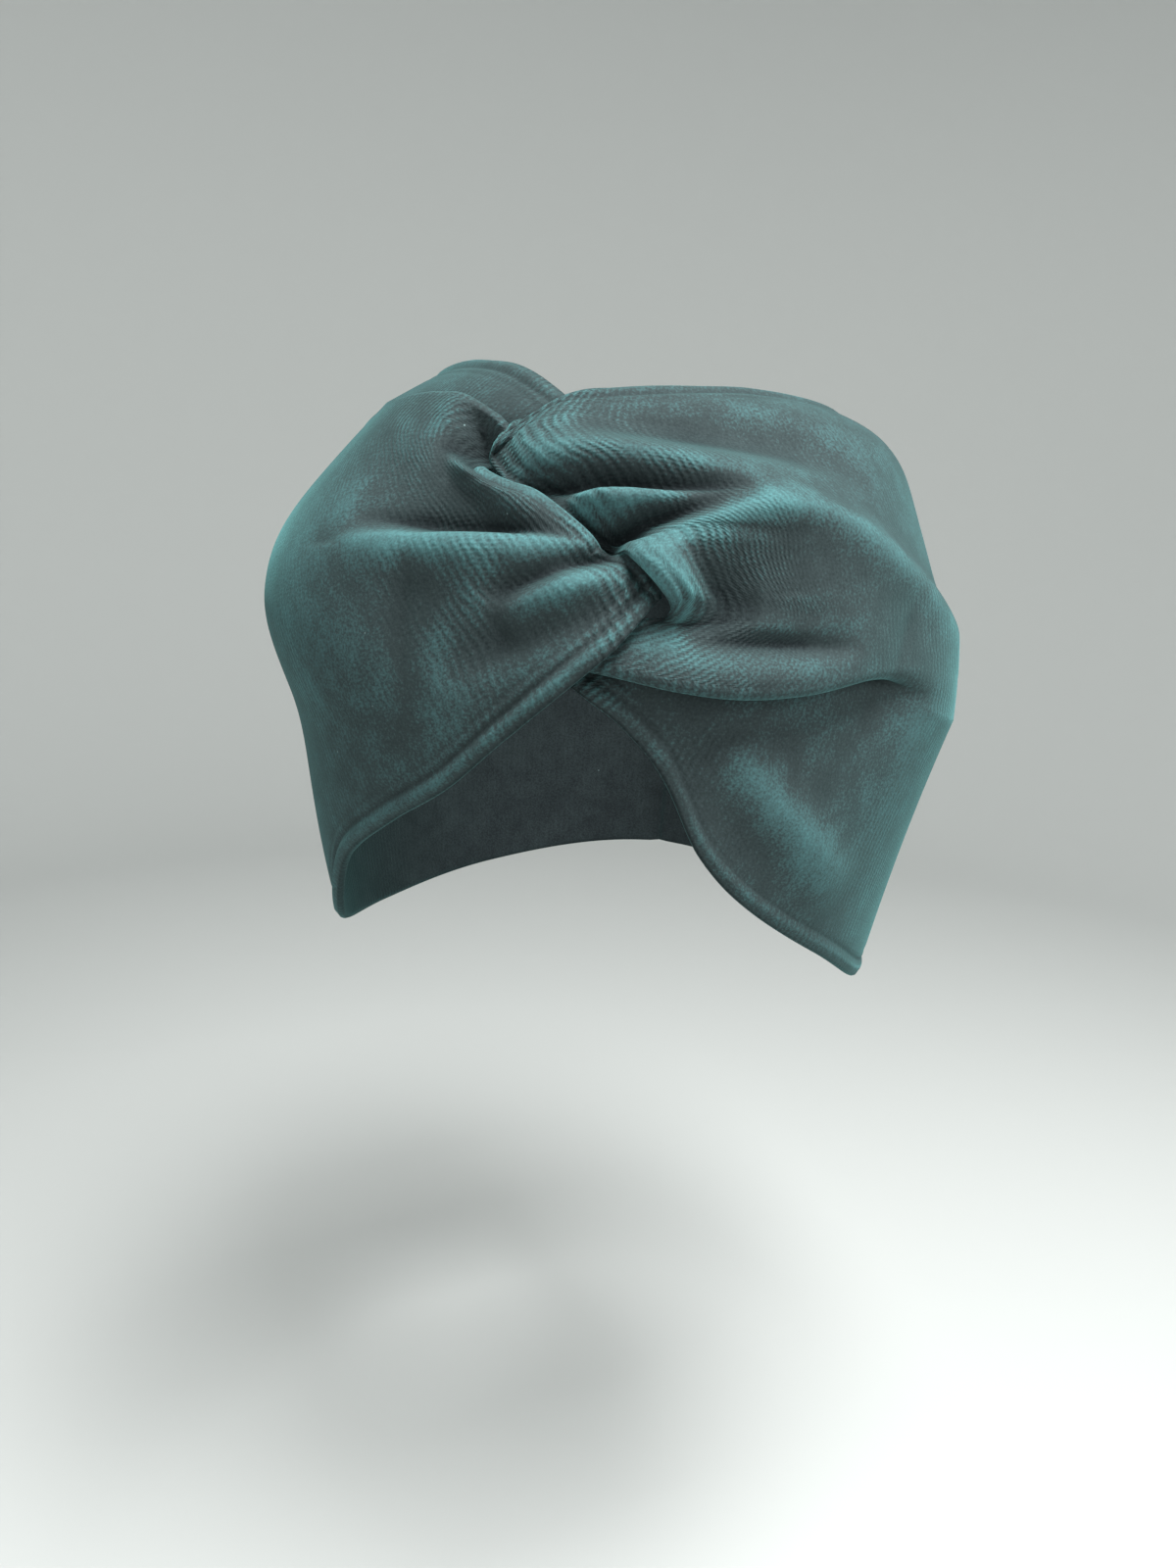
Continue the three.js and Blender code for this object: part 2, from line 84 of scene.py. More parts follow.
LEFT_SECTIONS = (
    (0, -7.5, 66, 7.4, 9, 4, 13.4, 7.2, 130, 0, 3.5, 11.4, 2, 2.2),
    (10, 1, 74.5, 8, 10.5, 13.4, 11, 8.6, 155, 0, 9, 7, 2.6, 2.4),
    (22, 10, 78.5, 6.5, 11.5, 22, 8.5, 10, 165, 1, 15.3, 0.8, 3, 2.6),
    (36, 20, 80.5, 6, 12.5, 31, 7, 11.5, 170, 3, 22, -10.5, 3.5, 2.8),
    (52, 31, 82, 5.5, 14, 41, 7.5, 13.5, 170, 4, 28.5, -29, 5, 3.5),
    (72, 44, 83, 5.5, 14.5, 53, 9.5, 15, 140, 2, 38.5, -44, 7, 4.5),
    (96, 60, 82, 5.5, 13, 68, 8, 13.5, 50, 0, 56, -61, 9, 6.5),
    (125, 82, 80, 5.5, 11.5, 86, 4, 11.5, 5, 0, 79, -80, 9.5, 8),
    (165, 110, 76, 5.5, 10, 112, 0, 10.5, 0, 0, 106, -86, 9, 7.5),
    (205, 140, 69, 4.5, 8, 142, -4, 8, 0, 0, 138, -83, 7, 5.5),
    (255, 180, 60, 3.5, 6, 180, -8, 6, 0, 0, 180, -77, 5.5, 4),
)

# Edge of each outer half at the twist, from the hem (part 0) to the fold (part 1).
RIGHT_EDGE = (
    (0, 18.4, 26.2, 8.2, 0, 1, 20),
    (0.12, 16.4, 30, 7.6, 0, 3, 20),
    (0.24, 14.2, 33.3, 6.8, 5, 3, 15),
    (0.33, 11.4, 35.8, 6.6, 25, 0.3, 12),
    (0.4, 9.6, 38.4, 11, 120, 0.8, 12),
    (0.47, 7.2, 41.3, 13.2, 160, 1.2, 14),
    (0.55, 3.6, 45, 13.4, 170, 0.8, 18),
    (0.63, -0.6, 48.4, 13.6, 175, 0.8, 20),
    (0.72, -5.2, 50.5, 13.6, 175, 0.8, 20),
    (0.84, -11, 54.5, 13, 160, 0.8, 16),
    (0.92, -14, 60.5, 4, 5, 1, 7),
    (1, -9, 65.5, 4, 0, 1, 8),
)
LEFT_EDGE = (
    (0, -7.5, 66, 7.4, 10, 0.5, 15),
    (0.06, -9.4, 64, 8, 30, 0.5, 14),
    (0.12, -11.4, 61.2, 8.2, 50, 0.5, 12),
    (0.2, -12.2, 57.4, 5.8, 35, 0.6, 7),
    (0.3, -6.3, 51.5, 5.9, 5, 0.4, 7),
    (0.4, -0.8, 49, 5.9, 5, 0.4, 7),
    (0.47, 4.2, 44.4, 5.2, 5, 0.4, 7),
    (0.53, 8.4, 40.4, 4.2, 5, 0.6, 7),
    (0.58, 12.3, 37, 5, 25, 0.4, 9),
    (0.61, 13.6, 35.4, 10.6, 80, 0.4, 9),
    (0.64, 14.4, 33.4, 13.4, 140, 0.8, 9),
    (0.7, 16.2, 30.3, 15.2, 165, 1, 9),
    (0.75, 18.4, 27, 15.2, 150, 0.8, 9),
    (0.79, 20.2, 24.4, 13.4, 95, 0.4, 9),
    (0.82, 20.9, 22.6, 9.5, 30, 0.3, 9),
    (0.85, 20, 21, 7, 0, 0.3, 9),
    (0.88, 17.6, 19.9, 6.4, 0, 1, 9),
    (0.92, 13.8, 18, 6.2, 0, 2, 10),
    (0.96, 9, 15.6, 6.6, 0, 2, 10),
    (1, 4, 13.4, 7.2, 0, 1, 12),
)


class FoldSide(Enum):
    """Side of its outer half on which a panel's long fold lies."""

    ABOVE = 1
    BELOW = -1


def clamp(value: np.ndarray) -> np.ndarray:
    """Keeps every value between 0 and 1."""
    return np.clip(value, 0.0, 1.0)


def fade(distance: np.ndarray, reach: np.ndarray) -> np.ndarray:
    """Falls smoothly from 1 to 0 over the reach: (1 - s)^2 (1 + 2 s), s = distance / reach."""
    part = clamp(distance / reach)
    return (1 - part) ** 2 * (1 + 2 * part)


def bell(distance: np.ndarray, middle: float, width: float) -> np.ndarray:
    """A bell of height 1: exp of minus the square of (distance - middle) / width."""
    return np.exp(-(((distance - middle) / width) ** 2))


def parabola(start: float, middle: float, end: float, part: np.ndarray) -> np.ndarray:
    """The parabola through three values, at parts 0, 1/2 and 1."""
    return start * (1 - part) * (1 - 2 * part) + middle * 4 * part * (1 - part) + end * part * (2 * part - 1)


def unit(vectors: np.ndarray) -> np.ndarray:
    """Vectors of length 1 along the last axis."""
    return vectors / np.maximum(np.linalg.norm(vectors, axis=-1, keepdims=True), SHORTEST)


def path_lengths(points: np.ndarray, axis: int) -> np.ndarray:
    """Distance walked along one axis of a grid of points, counted from its first point."""
    steps = np.linalg.norm(np.diff(points, axis=axis), axis=-1)
    walked = np.cumsum(steps, axis=axis)
    start = np.zeros_like(np.take(walked, [0], axis=axis))
    return np.concatenate([start, walked], axis=axis)


@dataclass
class Places:
    """Places on the cloth in head coordinates, as arrays of one shape."""

    turn: np.ndarray
    rise: np.ndarray
    stand: np.ndarray

    def column(self, row: int) -> "Places":
        """The places of one row, kept as a column so that they spread over others."""
        pick = (slice(None), [row])
        return Places(self.turn[pick], self.rise[pick], self.stand[pick])


@dataclass(frozen=True)
class HeadForm:
    """The head hollow, in mm: ellipses round it, and a fuller curve up and down it.

    crown_length, face_length and brow_length are mm for each degree up, down and round the head.
    """

    half_width: float = 79.0
    front: float = 92.0
    back: float = 94.0
    crown: float = 88.0
    jaw: float = 165.0
    crown_fullness: float = 0.8
    jaw_fullness: float = 0.95
    crown_length: float = 1.5
    face_length: float = 2.85
    brow_length: float = 1.45

    def lift(self, rise: np.ndarray) -> np.ndarray:
        """Angle up or down the head for a rise, in radians."""
        return np.radians(rise / np.where(rise >= 0, self.crown_length, self.face_length))

    def points(self, places: Places) -> np.ndarray:
        """Points in space for places on the head.

        The ring of the head at a lift narrows by cos(lift) to the fullness, and its height is
        sin(lift) of the crown or jaw. The stand is measured along the outward normal.

        Args:
            places: Places in head coordinates.

        Returns:
            Points in mm, with x, y and z along the last axis.
        """
        up = places.rise >= 0
        fullness = np.where(up, self.crown_fullness, self.jaw_fullness)
        height = np.where(up, self.crown, self.jaw)
        lift = self.lift(places.rise)
        around = np.radians(places.turn)
        depth = self.front + (self.back - self.front) * (1 - np.cos(around)) / 2
        narrowing = np.cos(lift) ** fullness
        slope = fullness * np.cos(lift) ** (fullness - 1) * np.sin(lift)
        radius = np.hypot(self.half_width * np.sin(around), depth * np.cos(around))
        outward = unit(np.stack([np.sin(around) / self.half_width, -np.cos(around) / depth], axis=-1))
        lean = unit(np.stack([height * np.cos(lift), slope * radius], axis=-1))
        ring = np.stack([self.half_width * np.sin(around), -depth * np.cos(around)], axis=-1)
        flat = ring * narrowing[..., None] + outward * (lean[..., 0] * places.stand)[..., None]
        high = height * np.sin(lift) + lean[..., 1] * places.stand
        return np.concatenate([flat, high[..., None]], axis=-1)


HEAD = HeadForm()


class CurveTable:
    """Smooth curves through the columns of a table, with the first column as their key."""

    def __init__(self, columns: str, rows: Sequence[Sequence[float]]) -> None:
        """Reads the table and works out the slope of each curve at each row."""
        values = np.array(rows, dtype=float)
        self.key = values[:, 0]
        self.values = dict(zip(columns.split(), values.T))
        self.slopes = {name: self._slopes(name) for name in self.values}

    def _slopes(self, name: str) -> np.ndarray:
        """Slope from the row before to the row after. All but turns end level."""
        count = len(self.key)
        before = np.maximum(np.arange(count) - 1, 0)
        after = np.minimum(np.arange(count) + 1, count - 1)
        column = self.values[name]
        slopes = (column[after] - column[before]) / (self.key[after] - self.key[before])
        if not name.endswith("turn"):
            slopes[-1] = 0.0
        return slopes

    def at(self, name: str, where: np.ndarray) -> np.ndarray:
        """Values of one column's curve: a cubic between rows that meets both slopes.

        Args:
            name: The column.
            where: Values of the key.

        Returns:
            The curve's values, in the shape of `where`.
        """
        i = np.clip(np.searchsorted(self.key, where) - 1, 0, len(self.key) - 2)
        span = self.key[i + 1] - self.key[i]
        s = (where - self.key[i]) / span
        late = s * s * (3 - 2 * s)
        column, slopes = self.values[name], self.slopes[name]
        bend = span * s * (1 - s) * ((1 - s) * slopes[i] - s * slopes[i + 1])
        return (1 - late) * column[i] + late * column[i + 1] + bend


@dataclass(frozen=True)
class Crease:
    """A ridge (heights above 0) or valley (below 0) along a line over the cloth.

    turn, rise and height are each given at the start, middle and end of the line; above and below
    are the reach in mm on its two sides, and shape is 1 for a sharp crease and 2 for a round one.
    softness, in mm, rounds the line itself.
    """

    turn: tuple[float, float, float]
    rise: tuple[float, float, float]
    height: tuple[float, float, float]
    above: float
    below: float
    shape: float
    softness: float = 0.8

    def heights(self, turn: np.ndarray, rise: np.ndarray) -> np.ndarray:
        """Height that the crease adds at places: a bell across its line.

        The distance is taken to the nearest of the short straight steps of the line, and the bell
        is exp(-(distance / reach) ^ shape) times the height at the nearest point.

        Args:
            turn: Turn of the places.
            rise: Rise of the places.

        Returns:
            Heights in mm.
        """
        parts = np.linspace(0.0, 1.0, CREASE_STEPS + 1)
        line_turn = parabola(*self.turn, parts)
        line_rise = parabola(*self.rise, parts)
        length = HEAD.brow_length * np.cos(HEAD.lift(rise))
        nearest = np.full(turn.shape, np.inf)
        part = np.zeros(turn.shape)
        side = np.zeros(turn.shape)
        for k in range(CREASE_STEPS):
            line_x = (line_turn[k + 1] - line_turn[k]) * length
            line_y = line_rise[k + 1] - line_rise[k]
            x = (turn - line_turn[k]) * length
            y = rise - line_rise[k]
            s = clamp((x * line_x + y * line_y) / (line_x**2 + line_y**2))
            distance = np.hypot(x - s * line_x, y - s * line_y)
            closer = distance < nearest
            nearest = np.where(closer, distance, nearest)
            part = np.where(closer, (k + s) / CREASE_STEPS, part)
            side = np.where(closer, (y * line_x - x * line_y) * np.sign(line_x), side)
        reach = np.where(side > 0, self.above, self.below)
        distance = np.hypot(nearest, self.softness) - self.softness
        return parabola(*self.height, part) * np.exp(-((distance / reach) ** self.shape))


RIGHT_CREASES = {
    "sharp_valley": Crease((9, -9, -32), (39.8, 40.8, 39.5), (-1.5, -6.5, 0), 6, 2, 1.1),
    "ridge_under_it": Crease((8, -9, -30), (37.4, 37, 33), (1.5, 5, 1), 2, 7, 1.7),
    "inner_valley": Crease((11, 4, -6), (35.5, 31.5, 25.5), (-3, -4.5, 0), 3.5, 3, 1.3),
    "short_ridge": Crease((15, 7, -3), (31.5, 28.5, 19.5), (1.5, 4.6, 0), 3, 4, 1.9),
    "hem_valley": Crease((16, 3, -14), (26.8, 20.5, 9), (0, -2.4, 0), 4.5, 4, 1.8),
    "shoulder_valley": Crease((-12, -24, -44), (50, 50, 52), (-2, -1.8, 0), 7, 7, 2),
    "pocket": Crease((-14, -15.5, -17.5), (58, 62.5, 68), (-1.6, -4.3, -1), 3, 3, 1.6),
    "side_puff": Crease((-18, -62, -108), (20, 22, 20), (0, 10, 2), 26, 21, 2.1),
}
# Creases too fine for the solids: the core of the pocket beside the twist, and its rim
RIGHT_FINE_CREASES = {
    "pocket_core": Crease((-15.2, -17.4, -18.6), (58.5, 63.5, 68.5), (-0.6, -2.6, -0.2), 1.8, 2.4, 1.3),
    "pocket_rim": Crease((-18.2, -21.4, -20.6), (60.0, 65.5, 71.5), (0, 1.1, 0), 2.4, 2.6, 1.8),
}
LEFT_CREASES = {
    "top_valley": Crease((2, 30, 60), (64, 63, 52), (0, -4.5, 0), 7, 5, 2),
    "long_ridge": Crease((-2, 28, 78), (54.5, 49.5, 18), (2, 5, 2.4), 5, 6, 1.6),
    "upper_valley": Crease((-2, 14, 38), (50.5, 49.4, 46.5), (-3, -6.5, 0), 3.2, 1.8, 1.15),
    "middle_ridge": Crease((4, 17, 38), (46.4, 46.4, 45), (0.5, 5, 0), 1.8, 3.2, 1.8),
    "deep_valley": Crease((11, 19.5, 33), (38.4, 42.9, 46.4), (-1.5, -7, 0), 3.2, 2.4, 1.2),
    "nose_ridge": Crease((14, 25, 42), (34.8, 39.8, 41), (1, 4.4, 0.6), 2.8, 7, 1.8),
    "cup": Crease((21.5, 26, 33), (22.5, 23.5, 25), (-1, -3.6, -0.5), 7, 3, 1.8),
    "slit": Crease((23, 37, 49), (18.4, 17.6, 16), (-1, -4, 0), 3, 2, 1.15),
    "lip_roll": Crease((16, 33, 52), (12.5, 12, 12.5), (0, 1.4, 0), 2.5, 3, 2),
    "side_puff": Crease((58, 84, 112), (14, 4, 2), (0, 6, 1), 15, 18, 2.2),
    "top_puff": Crease((46, 84, 125), (66, 62, 56), (0, 3.5, 0), 12, 14, 2),
}

# On the inner half of the wearer's left panel, where it drapes over the temple
LEFT_INNER_CREASES = {
    "front_drape": Crease((30, 42, 58), (-4, -24, -46), (0, 3.4, 0), 7, 7, 2),
    "hem_drape": Crease((24, 34, 50), (-2, -20, -40), (0, -1.5, 0), 6, 6, 2),
}


def creased(creases: dict[str, Crease], turn: np.ndarray, rise: np.ndarray) -> np.ndarray:
    """Height in mm that all the creases add together."""
    total = np.zeros(turn.shape)
    for crease in creases.values():
        total += crease.heights(turn, rise)
    return total


@dataclass(frozen=True)
class Cloth:
    """Doubled velour: its wall, the radii it takes where it turns over, and its sewn hems (mm).

    The wall is thinner at the twist, where it is rolled tight. The painted shade fields say how much
    of the painted highlight on crests and painted shade in valleys shows at the fold and far from
    the twist, and how dark the inside is painted.
    """

    wall: float = 2.0
    thin_wall: float = 0.5
    thin_reach: float = 14.0
    fold_radius: float = 2.5
    tuck_radius: float = 0.9
    roll_radius: float = 2.5
    flat_fold_spread: float = 9.6
    flat_fold_onset: float = 4.0
    flat_edge_lip: float = 0.6
    fold_onset: float = 3.0
    hem_roll: float = 0.9
    hem_roll_middle: float = 1.7
    hem_roll_width: float = 1.4
    hem_groove: float = 0.55
    hem_groove_middle: float = 4.1
    hem_groove_width: float = 0.75
    seam_allowance: float = 6.9
    seam_allowance_step: float = 0.25
    far_hem_share: float = 0.6
    # Painted light and shade: smoothing passes for the crest and valley value, the dark value painted inside,
    # and how the painted highlight and shade lessen at the fold and away from the twist
    crest_valley_passes: int = 40
    # Inner face and rims painted dark: partly the plainer wrong side of the knit, partly painted shade inside
    # the hollow
    wrong_side_and_hollow_shade: float = -0.9
    fold_painted_shade_loss: float = 0.8
    fold_painted_shade_reach: float = 16.0
    far_painted_shade_share: float = 0.3
    painted_shade_reach: float = 150.0
    seam_dip: float = 1.1
    seam_dip_reach: float = 4.5

    def hem_relief(self, from_edge: np.ndarray) -> np.ndarray:
        """Relief of a turned hem: a roll, a groove at its seam, one more over the allowance."""
        roll = self.hem_roll * bell(from_edge, self.hem_roll_middle, self.hem_roll_width)
        groove = self.hem_groove * bell(from_edge, self.hem_groove_middle, self.hem_groove_width)
        step = self.seam_allowance_step * bell(from_edge, self.seam_allowance, self.hem_groove_width)
        return roll - groove - step


CLOTH = Cloth()


@dataclass(frozen=True)
class GridPlan:
    """Rows and columns of a panel's grid."""

    length: float = 255.0
    columns: int = 168
    first_step: float = 0.25
    roll_columns: int = 14
    hem_rows: int = 12
    hem_share: float = 0.07
    outer_rows: int = 122
    arc_rows: int = 12
    tuck_rows: int = 7
    inner_rows: int = 42
    rim_rows: int = 4
    edge_step: float = 0.01
    twist_reach: float = 80.0
    inner_drape_onset: float = 1 / 3

    def along(self) -> tuple[np.ndarray, np.ndarray, np.ndarray]:
        """Columns from the lip over the roll to the back seam.

        Returns:
            For each column its distance along the band, its share of the roll, and 1 for the lip.
        """
        part = np.linspace(0.0, 1.0, self.columns)
        cuts = self.length * (self.first_step * part + (1 - self.first_step) * part**2)
        rolls = np.linspace(1.0, 0.0, self.roll_columns, endpoint=False)
        front = np.zeros(len(rolls) + 1)
        along = np.concatenate([front, cuts])
        roll = np.concatenate([[1.0], rolls, np.zeros(self.columns)])
        lip = np.concatenate([[1.0], np.zeros(len(along) - 1)])
        return along[:, None], roll[:, None], lip[:, None]

    def outer_parts(self) -> np.ndarray:
        """Rows from the hem to the fold, close together at the hem."""
        hem = np.linspace(0.0, self.hem_share, self.hem_rows, endpoint=False)
        return np.concatenate([hem, np.linspace(self.hem_share, 1.0, self.outer_rows)])

    def inner_parts(self) -> np.ndarray:
        """Rows from the fold to the far hem, close together at the hem."""
        body = np.linspace(0.0, 1 - self.hem_share, self.inner_rows + 1)[1:]
        return np.concatenate([body, np.linspace(1 - self.hem_share, 1.0, self.hem_rows + 1)[1:]])


PLAN = GridPlan()


@dataclass(frozen=True)
class Knit:
    """Ribs of the knit across the band (mm). They open out where the twist pulls the cloth."""

    pitch: float = 1.45
    pitch_at_twist: float = 2.3
    opening_reach: float = 55.0

    def ribs_along(self, along: np.ndarray) -> np.ndarray:
        """Number of ribs up to a distance along the band.

        The pitch is pitch + (pitch_at_twist - pitch) * exp(-along / opening_reach), so the count
        is the closed integral of one over it.
        """
        extra = self.pitch_at_twist - self.pitch
        growth = np.exp(np.maximum(along, -self.opening_reach) / self.opening_reach)
        total = np.log((self.pitch * growth + extra) / self.pitch_at_twist)
        return total * self.opening_reach / self.pitch


@dataclass(frozen=True)
class Panel:
    """One panel of the headband: a doubled sheet of velour from the twist to the back seam.

    hem_share is how much of the hem's full relief the near hem has.
    """

    name: str
    node: str
    sections: CurveTable
    edge: CurveTable
    creases: dict[str, Crease]
    inner_creases: dict[str, Crease]
    fold_side: FoldSide
    hem_share: float

    def _fold_angle(self, along: np.ndarray) -> np.ndarray:
        """Angle that the fold turns under at each column, in radians."""
        return np.radians(np.maximum(self.sections.at("fold_angle", along), 0.0))

    def _fold_lead(self, along: np.ndarray) -> np.ndarray:
        """How far before its line the fold starts to turn, in mm."""
        return CLOTH.fold_radius * np.sin(np.minimum(self._fold_angle(along), np.pi / 2))

    def _chord(self, kind: str, along: np.ndarray, part: np.ndarray) -> np.ndarray:
        """Straight share of a turn or rise between the hem and the fold."""
        hem = self.sections.at(f"hem_{kind}", along)
        return (1 - part) * hem + part * self.sections.at(f"fold_{kind}", along)

    def _bulge(self, along: np.ndarray, part: np.ndarray) -> np.ndarray:
        """Stand across the outer half before creases: a parabola through hem, body and fold."""
        names = ("hem_stand", "body_stand", "fold_stand")
        return parabola(*(self.sections.at(name, along) for name in names), part)

    def outer_half(self) -> Places:
        """Places of the outer half, from hem to fold.

        Each is on the chord between hem and fold, plus what the edge's line at the twist departs
        from the chord there, faded out along the band, plus the height of the creases.
        """
        along, roll, lip = PLAN.along()
        part = PLAN.outer_parts()[None, :]
        near = fade(along, PLAN.twist_reach)
        start = np.zeros_like(along)
        turn = self._chord("turn", along, part)
        turn = turn + near * (self.edge.at("turn", part) - self._chord("turn", start, part))
        rise = self._chord("rise", along, part)
        rise = rise + near * (self.edge.at("rise", part) - self._chord("rise", start, part))
        rise = rise - self.fold_side.value * self._fold_lead(along) * part**CLOTH.fold_onset
        from_twist = fade(along, self.edge.at("blend", part))
        stand = self._bulge(along, part)
        stand = stand + from_twist * (self.edge.at("stand", part) - self._bulge(start, part))
        stand = stand + creased(self.creases, turn, rise)
        return self._roll_under(Places(turn, rise, stand), part, near, roll, lip)

    def _roll_under(
        self, places: Places, part: np.ndarray, near: np.ndarray, roll: np.ndarray, lip: np.ndarray
    ) -> Places:
        """Takes the first columns round the roll of the edge, square to the edge's line.

        A column at a share of the roll has turned by that share of the curl, so it lies
        radius * sin(turned) past the start of the roll and radius * (1 - cos(turned)) lower.

        Args:
            places: Places before the roll.
            part: Share of the way across the outer half.
            near: How much of the twist's shape each column still has.
            roll: Share of the roll that each column has turned.
            lip: 1 at the first column, which lies straight on beyond the roll.

        Returns:
            The places with the edge rolled under.
        """
        before = np.maximum(part - PLAN.edge_step, 0.0)
        after = np.minimum(part + PLAN.edge_step, 1.0)
        line_x = (self.edge.at("turn", after) - self.edge.at("turn", before)) * HEAD.brow_length
        line_y = self.edge.at("rise", after) - self.edge.at("rise", before)
        line = unit(np.stack([line_x, line_y], axis=-1))
        curl = np.radians(self.edge.at("curl", part))
        turned = curl * roll
        beyond = lip * self.edge.at("lip", part)
        sideways = np.sin(np.minimum(curl, np.pi / 2))
        past = CLOTH.roll_radius * (np.sin(turned) - near * sideways)
        past = past + beyond * np.cos(curl) + CLOTH.flat_edge_lip * roll * (1 - sideways)
        drop = CLOTH.roll_radius * (1 - np.cos(turned)) + beyond * np.sin(curl)
        return Places(
            places.turn + line[..., 1] * past / HEAD.brow_length,
            places.rise - line[..., 0] * past,
            places.stand - drop,
        )

    def fold(self, last: Places) -> Places:
        """Places round the long fold: an arc over, a straight tuck and a small arc back.

        Args:
            last: The last row of the outer half.

        Returns:
            Places of the rows round the fold.
        """
        along, _, _ = PLAN.along()
        angle = self._fold_angle(along)
        tuck = np.maximum(self.sections.at("tuck", along), 0.0)
        over = angle * np.linspace(0.0, 1.0, PLAN.arc_rows + 1)[1:]
        back = angle * np.linspace(1.0, 0.0, PLAN.tuck_rows + 1)
        big, small = CLOTH.fold_radius, CLOTH.tuck_radius
        tuck_past = (big + small) * np.sin(angle) + tuck * np.cos(angle)
        tuck_drop = big * (1 - np.cos(angle)) + tuck * np.sin(angle) - small * np.cos(angle)
        past = np.concatenate([big * np.sin(over), tuck_past - small * np.sin(back)], axis=1)
        drop = np.concatenate([big * (1 - np.cos(over)), tuck_drop + small * np.cos(back)], axis=1)
        rows = np.arange(1, past.shape[1] + 1) / past.shape[1]
        past = past + CLOTH.flat_fold_spread * np.cos(angle / 2) ** CLOTH.flat_fold_onset * rows
        turn = np.broadcast_to(last.turn, past.shape)
        return Places(turn, last.rise + self.fold_side.value * past, last.stand - drop)

    def inner_half(self, last: Places, root: Places) -> Places:
        """Places of the inner half, from the fold back to the far hem.

        The line from the root to the far hem is straight, and its stand is a parabola through
        root, far_mid and far_stand. Ahead of the first cut the far hem runs straight on.

        Args:
            last: The last row of the outer half.
            root: The last row of the fold.

        Returns:
            Places of the inner rows.
        """
        along, roll, _ = PLAN.along()
        part = PLAN.inner_parts()[None, :]
        lead = self.fold_side.value * self._fold_lead(along)
        past_turn = (last.turn - self.sections.at("fold_turn", along)) * HEAD.brow_length
        past_rise = last.rise + lead - self.sections.at("fold_rise", along)
        ahead = np.where(roll > 0, np.hypot(past_turn, past_rise), 0.0)
        far_turn = self.sections.at("far_turn", along) - ahead * self.sections.slopes["far_turn"][0]
        far_rise = self.sections.at("far_rise", along) - ahead * self.sections.slopes["far_rise"][0]
        turn = (1 - part) * root.turn + part * far_turn
        rise = (1 - part) * root.rise + part * far_rise
        far_mid = self.sections.at("far_mid", along)
        stand = parabola(root.stand, far_mid, self.sections.at("far_stand", along), part)
        drape = clamp(part / PLAN.inner_drape_onset) * creased(self.inner_creases, turn, rise)
        return Places(turn, rise, stand + drape)

    def face(self) -> np.ndarray:
        """Points of the outer face in mm, a row of the grid for each column of the cloth."""
        outer = self.outer_half()
        last = outer.column(-1)
        fold = self.fold(last)
        inner = self.inner_half(last, fold.column(-1))
        rows = zip(*((p.turn, p.rise, p.stand) for p in (outer, fold, inner)))
        return HEAD.points(Places(*(np.concatenate(part, axis=1) for part in rows)))

    def normals(self, face: np.ndarray) -> np.ndarray:
        """Outward normals of the face. At the back seam the cloth lies square to the seam."""
        along = np.gradient(face, axis=0)
        along[-1] = np.sign(face[-2, :, :1]) * (-1.0, 0.0, 0.0)
        across = np.gradient(face, axis=1)
        return unit(np.cross(across, along))

    def relief(self, face: np.ndarray) -> np.ndarray:
        """Relief of both hems and of the dip along the back seam, in mm."""
        across = path_lengths(face, axis=1)
        from_hem, from_far = across, across[:, -1:] - across
        along = path_lengths(face, axis=0)
        from_seam = along[-1:] - along
        dip = CLOTH.seam_dip * fade(from_seam, np.array(CLOTH.seam_dip_reach))
        hems = self.hem_share * CLOTH.hem_relief(from_hem)
        return hems + CLOTH.far_hem_share * CLOTH.hem_relief(from_far) - dip

    def crest_valley_shade(self, outer: np.ndarray, normals: np.ndarray) -> np.ndarray:
        """How far each point stands out of the cloth round it, in mm, below 0 in valleys: painted as
        highlight on crests and shade in valleys.

        The cloth round a point is the grid after many passes that each put a point half way to
        the mean of its neighbours. The lift is the step from there to the point, along the normal.

        Args:
            outer: Grid of points on the outer face.
            normals: Outward normals.

        Returns:
            The step of each point, lessened near the fold and away from the twist, which the material turns
            into painted highlight and painted shade.
        """
        smooth = outer.copy()
        for _ in range(CLOTH.crest_valley_passes):
            for axis in (0, 1):
                padded = np.pad(smooth, [(1, 1) if a == axis else (0, 0) for a in range(3)], mode="edge")
                before, after = np.delete(padded, [-1, -2], axis), np.delete(padded, [0, 1], axis)
                smooth = smooth / 2 + (before + after) / 4
        across = path_lengths(outer, axis=1)
        from_fold = np.abs(across - across[:, [len(PLAN.outer_parts()) - 1]])
        steady = 1 - CLOTH.fold_painted_shade_loss * fade(from_fold, np.array(CLOTH.fold_painted_shade_reach))
        along, _, _ = PLAN.along()
        reach = CLOTH.far_painted_shade_share + (1 - CLOTH.far_painted_shade_share) * fade(along, np.array(CLOTH.painted_shade_reach))
        return reach * steady * np.sum((outer - smooth) * normals, axis=-1)

    def build(self) -> bpy.types.Object:
        """Builds the panel as one closed mesh with its cloth coordinates as a UV map, and an attribute of
        painted highlight and shade.

        The section of each column is a closed loop: along the outer face, half round the far
        hem, back along the inner face, and half round the near hem.

        Returns:
            The panel's object, at the origin.
        """
        face = self.face()
        normals = self.normals(face)
        across = path_lengths(face, axis=1)
        outer = face + normals * self.relief(face)[..., None]
        inner = face - normals * self._wall(face.shape[1])
